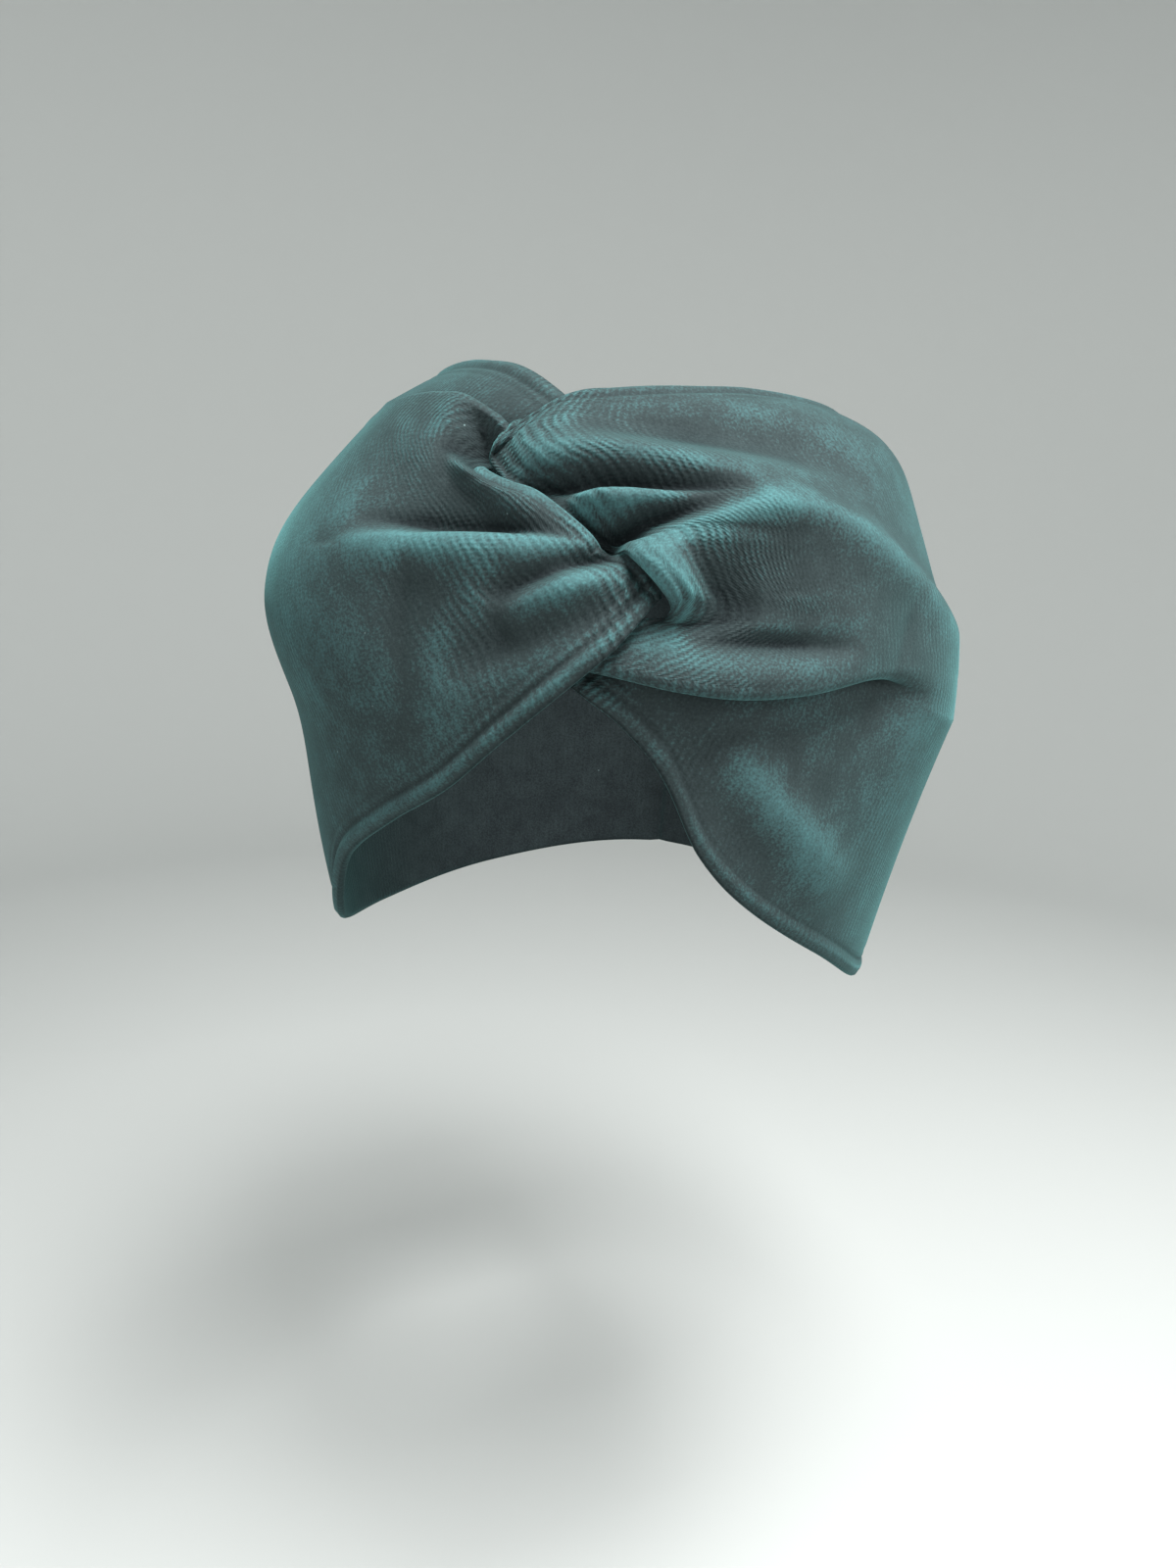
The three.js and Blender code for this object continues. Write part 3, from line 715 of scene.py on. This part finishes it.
        # Painted light: the value that lightens crests and darkens valleys in the material
        lift = self.crest_valley_shade(outer, normals)
        loops = [
            outer,
            self._rim(outer[:, -1], inner[:, -1], face[:, -1] - face[:, -2]),
            inner[:, ::-1],
            self._rim(inner[:, 0], outer[:, 0], face[:, 0] - face[:, 1]),
        ]
        points = np.concatenate(loops, axis=1)
        rims = (len(face), PLAN.rim_rows)
        widths = np.concatenate(
            [across, np.broadcast_to(across[:, -1:], rims), across[:, ::-1], np.zeros(rims)], axis=1
        )
        # Painted shade on the inner face and rims, partly the plainer wrong side of the knit and partly shade
        # of the hollow; the outer face takes the crest and valley value
        shade = np.full(points.shape[:2], CLOTH.wrong_side_and_hollow_shade)
        shade[:, : face.shape[1]] = lift
        piece = self._mesh(points, widths, face.shape[1])
        layer = piece.data.attributes.new(name=CREST_VALLEY_SHADE, type="FLOAT", domain="POINT")
        layer.data.foreach_set("value", shade.astype(np.float32).ravel())
        return piece

    def _wall(self, rows: int) -> np.ndarray:
        """Wall of the cloth in mm: full from the fade's end on, thinner towards the lip's roll."""
        along, roll, _ = PLAN.along()
        near = fade(along, np.array(CLOTH.thin_reach))
        wall = CLOTH.wall - (CLOTH.wall - CLOTH.thin_wall) * near
        return np.broadcast_to(wall, (len(along), rows))[..., None]

    def _rim(self, start: np.ndarray, end: np.ndarray, outwards: np.ndarray) -> np.ndarray:
        """Points of a half round rim: middle + cos(a) * arm + sin(a) * radius * outwards."""
        angles = np.linspace(0.0, math.pi, PLAN.rim_rows + 2)[1:-1]
        middle = (start + end) / 2
        arm = (start - end) / 2
        radius = np.linalg.norm(arm, axis=-1, keepdims=True)
        reach = unit(outwards) * radius
        rows = [middle + math.cos(a) * arm + math.sin(a) * reach for a in angles]
        return np.stack(rows, axis=1)

    def _mesh(self, points: np.ndarray, widths: np.ndarray, rows: int) -> bpy.types.Object:
        """Makes the mesh from a tube of loops, closed at both ends.

        Args:
            points: Grid of points in mm, one loop for each column.
            widths: Distance across the cloth of each point, in mm.
            rows: Number of points of a loop on one face.

        Returns:
            The object.
        """
        columns, around = widths.shape
        ids = np.arange(columns * around).reshape(columns, around)
        ahead = np.roll(ids, -1, axis=1)
        sides = np.stack([ids[:-1], ahead[:-1], ahead[1:], ids[1:]], axis=-1).reshape(-1, 4)
        partner = (2 * rows + PLAN.rim_rows - 1) - np.arange(rows)
        pairs = np.stack(
            [np.arange(1, rows), np.arange(rows - 1), partner[:-1], partner[1:]], axis=-1
        )
        caps = np.concatenate([pairs, pairs[:, ::-1] + (columns - 1) * around])
        far_rim = np.arange(rows - 1, rows + PLAN.rim_rows + 1)
        near_rim = np.concatenate([np.arange(around - PLAN.rim_rows - 1, around), [0]])
        ends = [rim + column * around for column in (0, columns - 1) for rim in (far_rim, near_rim)]
        fans = [list(ends[0][::-1]), list(ends[1][::-1]), list(ends[2]), list(ends[3])]
        mesh = bpy.data.meshes.new(self.name)
        faces = sides.tolist() + caps.tolist() + fans
        mesh.from_pydata((points.reshape(-1, 3) * MM).tolist(), [], faces)
        mesh.update()
        self._add_cloth_map(mesh, points, widths)
        mesh.polygons.foreach_set("use_smooth", np.ones(len(mesh.polygons), dtype=bool))
        piece = bpy.data.objects.new(self.name, mesh)
        bpy.context.scene.collection.objects.link(piece)
        return piece

    def _add_cloth_map(self, mesh: bpy.types.Mesh, points: np.ndarray, widths: np.ndarray) -> None:
        """Adds the UV map of the cloth: knit ribs along the band, and mm across it."""
        along, roll, _ = PLAN.along()
        cloth = path_lengths(points, axis=0)
        first_cut = np.count_nonzero(roll)
        ribs = Knit().ribs_along(along + np.minimum(cloth - cloth[first_cut], 0.0))
        coordinates = np.stack([np.broadcast_to(ribs, widths.shape), widths], axis=-1).reshape(-1, 2)
        corners = np.empty(len(mesh.loops), dtype=np.int32)
        mesh.loops.foreach_get("vertex_index", corners)
        layer = mesh.uv_layers.new(name=CLOTH_MAP)
        layer.data.foreach_set("uv", coordinates[corners].astype(np.float32).ravel())


def linear(colour: str) -> tuple[float, float, float, float]:
    """Turns an sRGB hex colour such as "#2c5657" into linear red, green, blue and alpha."""
    channels = [int(colour[i : i + 2], 16) / 255 for i in (1, 3, 5)]
    return (*(c / 12.92 if c <= 0.04045 else ((c + 0.055) / 1.055) ** 2.4 for c in channels), 1.0)


def add_node(
    tree: bpy.types.NodeTree, kind: str, settings: dict | None = None, links: dict | None = None
) -> bpy.types.Node:
    """Adds a shader node with its settings and links.

    Args:
        tree: The node tree.
        kind: The node's type name.
        settings: Node properties by name, and socket values by socket name or number.
        links: For each input socket, the output socket that feeds it.

    Returns:
        The node.
    """
    node = tree.nodes.new(kind)
    for key, value in (settings or {}).items():
        if isinstance(key, str) and key[0].islower():
            setattr(node, key, value)
        else:
            node.inputs[key].default_value = value
    for key, source in (links or {}).items():
        tree.links.new(source, node.inputs[key])
    return node


@dataclass(frozen=True)
class Velour:
    """Knitted polyester velour: a short soft pile on a ribbed knit.

    The pile scatters light back at grazing angles, so folds shine along their edges and faces
    turned to the eye look deep. Brushed one way or the other, it lies in lighter and darker
    patches, and the knit below shows as fine ribs across the band. Real tufts are finer than the
    pile, which is drawn as coarse as it needs to show.

    Sizes and depths are in mm. The shades are steps along the ramp from deep to brushed. Crests
    are painted lighter and valleys darker: a painted highlight and a painted shade.
    """

    name: str = "velour_deep_teal"
    # deep and brushed end the ramp: valleys reach deep through painted shade, crests reach brushed through
    # painted highlight, and brushed patches reach it too
    deep: str = "#121719"
    body: str = "#293233"
    brushed: str = "#42696b"
    lint: str = "#9dbcbb"
    sheen_tint: str = "#7fcfce"
    sheen: float = 0.26
    sheen_roughness: float = 0.4
    roughness: float = 0.92
    specular: float = 0.12
    relief_strength: float = 1.0
    noise_roughness: float = 0.55
    noise_middle: tuple[float, float] = (0.3, 0.7)
    nap_patch: float = 24.0
    nap_patch_detail: float = 2.0
    nap_streak: float = 6.0
    nap_streak_detail: float = 3.0
    nap_shade: float = 0.05
    # Painted highlight on crests and painted shade in valleys: the range of the panels' attribute and the
    # ramp steps it gives
    crest_valley_reach: float = 1.2
    valley_painted_shade: float = -0.38
    crest_painted_highlight: float = 0.36
    pile: float = 0.6
    pile_detail: float = 2.0
    pile_depth: float = 0.10
    pile_shade: float = 0.12
    knit_shade: float = 0.19
    level_shade: float = 0.42
    body_stop: float = 0.45
    lint_spacing: float = 14.0
    lint_core: float = 0.008
    lint_rim: float = 0.02
    lint_cover: float = 0.3
    course: float = 1.2
    course_shift: float = 0.5
    course_wander: float = 2.3
    rib_wander: float = 1.1
    wander_size: float = 4.0
    wander_detail: float = 3.0
    stitch_gap: float = 0.25
    rib_depth: float = 0.2
    rib_fade: float = 24.0
    rib_at_twist: float = 1.2
    rib_beyond: float = 0.2
    rib_patch: float = 12.0
    rib_patch_detail: float = 1.0
    rib_patch_middle: tuple[float, float] = (0.35, 0.65)
    rib_between_patches: float = 0.2

    def material(self) -> bpy.types.Material:
        """Builds the material on Object coordinates and the cloth map of the panels."""
        material = bpy.data.materials.new(self.name)
        material.use_nodes = True
        tree = material.node_tree
        tree.nodes.clear()
        place = add_node(tree, "ShaderNodeTexCoord").outputs["Object"]
        cloth = add_node(tree, "ShaderNodeUVMap", {"uv_map": CLOTH_MAP}).outputs["UV"]
        knit = self._knit(tree, place, cloth)
        pile = self._noise(tree, place, self.pile, self.pile_detail)
        relief = self._math(
            tree, "ADD", self._math(tree, "MULTIPLY", knit, self.rib_depth),
            self._math(tree, "MULTIPLY", pile, self.pile_depth),
        )
        colour = self._colour(tree, place, knit, pile)
        normal = add_node(
            tree, "ShaderNodeBump", {"Strength": self.relief_strength, "Distance": MM}, {"Height": relief}
        ).outputs["Normal"]
        settings = {
            "Roughness": self.roughness,
            "Specular IOR Level": self.specular,
            "Sheen Weight": self.sheen,
            "Sheen Roughness": self.sheen_roughness,
            "Sheen Tint": linear(self.sheen_tint),
        }
        shader = add_node(
            tree, "ShaderNodeBsdfPrincipled", settings, {"Base Color": colour, "Normal": normal}
        )
        add_node(tree, "ShaderNodeOutputMaterial", links={"Surface": shader.outputs["BSDF"]})
        return material

    def _math(
        self,
        tree: bpy.types.NodeTree,
        operation: str,
        *terms: bpy.types.NodeSocket | float,
    ) -> bpy.types.NodeSocket:
        """A sum, product or other operation on sockets and numbers, in their order."""
        numbers = {i: term for i, term in enumerate(terms) if isinstance(term, (int, float))}
        sockets = {i: term for i, term in enumerate(terms) if i not in numbers}
        return add_node(tree, "ShaderNodeMath", {"operation": operation, **numbers}, sockets).outputs[0]

    def _range(
        self, tree: bpy.types.NodeTree, value: bpy.types.NodeSocket, limits: tuple[float, ...]
    ) -> bpy.types.NodeSocket:
        """Maps a value from its lowest and highest to new ones, and no further."""
        names = ("From Min", "From Max", "To Min", "To Max")
        node = add_node(tree, "ShaderNodeMapRange", dict(zip(names, limits)), {"Value": value})
        return node.outputs["Result"]

    def _noise(
        self, tree: bpy.types.NodeTree, place: bpy.types.NodeSocket, size: float, detail: float
    ) -> bpy.types.NodeSocket:
        """Soft noise with lumps of about the given size in mm."""
        settings = {"Scale": 1 / (size * MM), "Detail": detail, "Roughness": self.noise_roughness}
        return add_node(tree, "ShaderNodeTexNoise", settings, {"Vector": place}).outputs["Fac"]

    def _knit(
        self, tree: bpy.types.NodeTree, place: bpy.types.NodeSocket, cloth: bpy.types.NodeSocket
    ) -> bpy.types.NodeSocket:
        """Height of the knit from -1 to 1: ribs that wander and break up into stitches.

        A rib is a sine of its count; each is broken by the courses, a sine across the cloth that
        shifts from rib to rib. Both show through the pile in patches, and most near the twist.
        """
        split = add_node(tree, "ShaderNodeSeparateXYZ", links={"Vector": cloth}).outputs
        wander = self._noise(tree, place, self.wander_size, self.wander_detail)
        count = self._math(tree, "MULTIPLY_ADD", wander, self.rib_wander, split["X"])
        rib = self._math(tree, "SINE", self._math(tree, "MULTIPLY", count, 2 * math.pi))
        courses = self._math(tree, "DIVIDE", split["Y"], self.course)
        shifted = self._math(tree, "MULTIPLY_ADD", split["X"], self.course_shift, courses)
        row = self._math(tree, "MULTIPLY_ADD", wander, self.course_wander, shifted)
        stitch = self._math(tree, "SINE", self._math(tree, "MULTIPLY", row, 2 * math.pi))
        gaps = self._range(tree, stitch, (-1.0, 1.0, self.stitch_gap, 1.0))
        broken = self._math(tree, "MULTIPLY", rib, gaps)
        strength = self._range(tree, split["X"], (0.0, self.rib_fade, self.rib_at_twist, self.rib_beyond))
        patches = self._noise(tree, place, self.rib_patch, self.rib_patch_detail)
        patchy = self._range(tree, patches, (*self.rib_patch_middle, self.rib_between_patches, 1.0))
        return self._math(tree, "MULTIPLY", broken, self._math(tree, "MULTIPLY", strength, patchy))

    def _shade(
        self, tree: bpy.types.NodeTree, noise: bpy.types.NodeSocket, step: float
    ) -> bpy.types.NodeSocket:
        """Turns a noise into a shade from -step to step."""
        return self._range(tree, noise, (*self.noise_middle, -step, step))

    def _colour(
        self,
        tree: bpy.types.NodeTree,
        place: bpy.types.NodeSocket,
        knit: bpy.types.NodeSocket,
        pile: bpy.types.NodeSocket,
    ) -> bpy.types.NodeSocket:
        """Deep teal, with a painted highlight on crests and painted shade in valleys, lighter where
        brushed, with lint.
        """
        # Painted highlight on crests and painted shade in valleys, from the panels' attribute
        lift = add_node(tree, "ShaderNodeAttribute", {"attribute_name": CREST_VALLEY_SHADE}).outputs["Fac"]
        crest_valley_limits = (-self.crest_valley_reach, self.crest_valley_reach, self.valley_painted_shade, self.crest_painted_highlight)
        painted_crest_valley_shade = self._range(tree, lift, crest_valley_limits)
        brushed = self._noise(tree, place, self.nap_patch, self.nap_patch_detail)
        patches = self._shade(tree, brushed, self.nap_shade)
        stroked = self._noise(tree, place, self.nap_streak, self.nap_streak_detail)
        streaks = self._shade(tree, stroked, self.nap_shade)
        grain = self._shade(tree, pile, self.pile_shade)
        nap = self._math(tree, "ADD", patches, streaks)
        fuzz = self._math(tree, "MULTIPLY_ADD", knit, self.knit_shade, grain)
        shade = self._math(tree, "ADD", self._math(tree, "ADD", nap, fuzz), painted_crest_valley_shade)
        levelled = self._math(tree, "ADD", shade, self.level_shade)
        ramp = add_node(tree, "ShaderNodeValToRGB", links={"Fac": levelled})
        stops = ramp.color_ramp.elements
        stops[0].color, stops[1].color = linear(self.deep), linear(self.brushed)
        stops.new(self.body_stop).color = linear(self.body)
        cells = add_node(
            tree, "ShaderNodeTexVoronoi", {"Scale": 1 / (self.lint_spacing * MM)}, {"Vector": place}
        ).outputs["Distance"]
        specks = self._range(tree, cells, (self.lint_core, self.lint_rim, self.lint_cover, 0.0))
        settings = {"data_type": "RGBA", "blend_type": "MIX", MIX_SECOND: linear(self.lint)}
        links = {MIX_FACTOR: specks, MIX_FIRST: ramp.outputs["Color"]}
        return add_node(tree, "ShaderNodeMix", settings, links).outputs[MIX_COLOUR]


@dataclass(frozen=True)
class Headband:
    """The whole headband: two panels whose ends meet in the front twist and at the back seam.

    cut_width and cut_length (m) are an assumed cut, set so that its area is that of the worn
    sheet, and not a measured one.
    """

    velour: Velour = field(default_factory=Velour)
    cut_width: float = 0.165
    cut_length: float = 0.27

    def panels(self) -> tuple[Panel, Panel]:
        """The wearer's right and left panels."""
        right = Panel(
            name="right_panel_velour",
            node="wearer_right_panel",
            sections=CurveTable(SECTION_COLUMNS, RIGHT_SECTIONS),
            edge=CurveTable(EDGE_COLUMNS, RIGHT_EDGE),
            creases=RIGHT_CREASES | RIGHT_FINE_CREASES,
            inner_creases={},
            fold_side=FoldSide.ABOVE,
            hem_share=1.0,
        )
        left = Panel(
            name="left_panel_velour",
            node="wearer_left_panel",
            sections=CurveTable(SECTION_COLUMNS, LEFT_SECTIONS),
            edge=CurveTable(EDGE_COLUMNS, LEFT_EDGE),
            creases=LEFT_CREASES,
            inner_creases=LEFT_INNER_CREASES,
            fold_side=FoldSide.BELOW,
            hem_share=0.5,
        )
        return right, left

    def build(self) -> list[bpy.types.Object]:
        """Builds and dresses both panels and puts them on the frame."""
        material = self.velour.material()
        pieces = []
        for panel in self.panels():
            piece = panel.build()
            piece.data.materials.append(material)
            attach(piece, "root")
            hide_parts(panel.node)
            LOG.info("%s: %d faces", piece.name, len(piece.data.polygons))
            pieces.append(piece)
        return pieces


@dataclass(frozen=True)
class Softbox:
    """A soft square light that faces the headband: its place and side in m, its power in W."""

    name: str
    place: tuple[float, float, float]
    side: float
    power: float

    def build(self) -> None:
        """Adds the light."""
        lamp = bpy.data.lights.new(self.name, "AREA")
        lamp.size = self.side
        lamp.energy = self.power
        holder = bpy.data.objects.new(self.name, lamp)
        holder.location = self.place
        holder.rotation_euler = (-Vector(self.place)).to_track_quat("-Z", "Y").to_euler()
        bpy.context.scene.collection.objects.link(holder)


SOFTBOXES = (
    Softbox("key_from_above", (0.22, -0.26, 0.70), 0.35, 18.0),
    Softbox("fill_from_front", (-0.42, -0.88, 0.08), 0.6, 5.0),
    Softbox("window_right", (0.85, -0.25, 0.3), 0.5, 7.5),
)


@dataclass(frozen=True)
class Studio:
    """Plain pale studio: a round sweep of floor and wall, soft lights, and the camera (m)."""

    floor_height: float = -0.32
    floor_radius: float = 0.9
    sweep_radius: float = 0.5
    wall_height: float = 1.1
    sweep_colour: str = "#b6b9b7"
    sweep_roughness: float = 0.9
    pole_radius: float = 1e-5
    around: int = 96
    sweep_rows: int = 16
    camera_place: tuple[float, float, float] = (0.0728, -0.3424, 0.049)
    camera_heading: float = 13.3
    camera_pitch: float = -13.5
    camera_roll: float = 2.0
    focal_length: float = 27.05
    sensor: float = 36.0
    clip_start: float = 0.01
    air_colour: str = "#e6ecec"
    air_strength: float = 0.32

    def sweep(self) -> bpy.types.Object:
        """Floor and wall in one: a profile of floor, quarter round and wall, turned about Z."""
        angles = np.linspace(-np.pi / 2, 0.0, self.sweep_rows)
        radii = np.concatenate([[self.pole_radius], self.floor_radius + self.sweep_radius * np.cos(angles)])
        heights = np.concatenate([[0.0], self.sweep_radius * (1 + np.sin(angles))])
        radii = np.append(radii, radii[-1])
        heights = np.append(heights, heights[-1] + self.wall_height) + self.floor_height
        turn = np.linspace(0.0, 2 * np.pi, self.around, endpoint=False)[:, None]
        points = np.stack(
            [np.cos(turn) * radii, np.sin(turn) * radii, np.broadcast_to(heights, (self.around, len(radii)))],
            axis=-1,
        )
        ids = np.arange(points.shape[0] * points.shape[1]).reshape(points.shape[:2])
        ahead = np.roll(ids, -1, axis=0)
        faces = np.stack([ids[:, :-1], ids[:, 1:], ahead[:, 1:], ahead[:, :-1]], axis=-1)
        mesh = bpy.data.meshes.new("studio_sweep")
        pole = ids[:, 0].tolist()
        mesh.from_pydata(points.reshape(-1, 3).tolist(), [], faces.reshape(-1, 4).tolist() + [pole])
        mesh.polygons.foreach_set("use_smooth", np.ones(len(mesh.polygons), dtype=bool))
        material = bpy.data.materials.new("painted_sweep")
        material.use_nodes = True
        shader = material.node_tree.nodes["Principled BSDF"]
        shader.inputs["Base Color"].default_value = linear(self.sweep_colour)
        shader.inputs["Roughness"].default_value = self.sweep_roughness
        mesh.materials.append(material)
        sweep = bpy.data.objects.new("studio_sweep", mesh)
        bpy.context.scene.collection.objects.link(sweep)
        return sweep

    def camera(self) -> None:
        """Adds the camera: a short lens close to the front, a little above the brow."""
        lens = bpy.data.cameras.new("camera")
        lens.sensor_width = self.sensor
        lens.lens = self.focal_length
        lens.clip_start = self.clip_start
        holder = bpy.data.objects.new("camera", lens)
        heading = Matrix.Rotation(math.radians(self.camera_heading), 4, "Z")
        pitch = Matrix.Rotation(math.radians(90 + self.camera_pitch), 4, "X")
        roll = Matrix.Rotation(math.radians(self.camera_roll), 4, "Z")
        holder.matrix_world = Matrix.Translation(self.camera_place) @ heading @ pitch @ roll
        bpy.context.scene.collection.objects.link(holder)
        bpy.context.scene.camera = holder

    def build(self) -> None:
        """Builds the camera, the sweep, the lights and the air round them."""
        self.camera()
        self.sweep()
        for softbox in SOFTBOXES:
            softbox.build()
        world = bpy.data.worlds.new("studio_air")
        world.use_nodes = True
        background = world.node_tree.nodes["Background"]
        background.inputs["Color"].default_value = linear(self.air_colour)
        background.inputs["Strength"].default_value = self.air_strength
        bpy.context.scene.world = world
        bpy.context.scene.view_settings.view_transform = "Standard"


def main() -> None:
    """Builds the headband and its studio."""
    logging.basicConfig(level=logging.INFO)
    Studio().build()
    Headband().build()


if __name__ == "__main__":
    main()
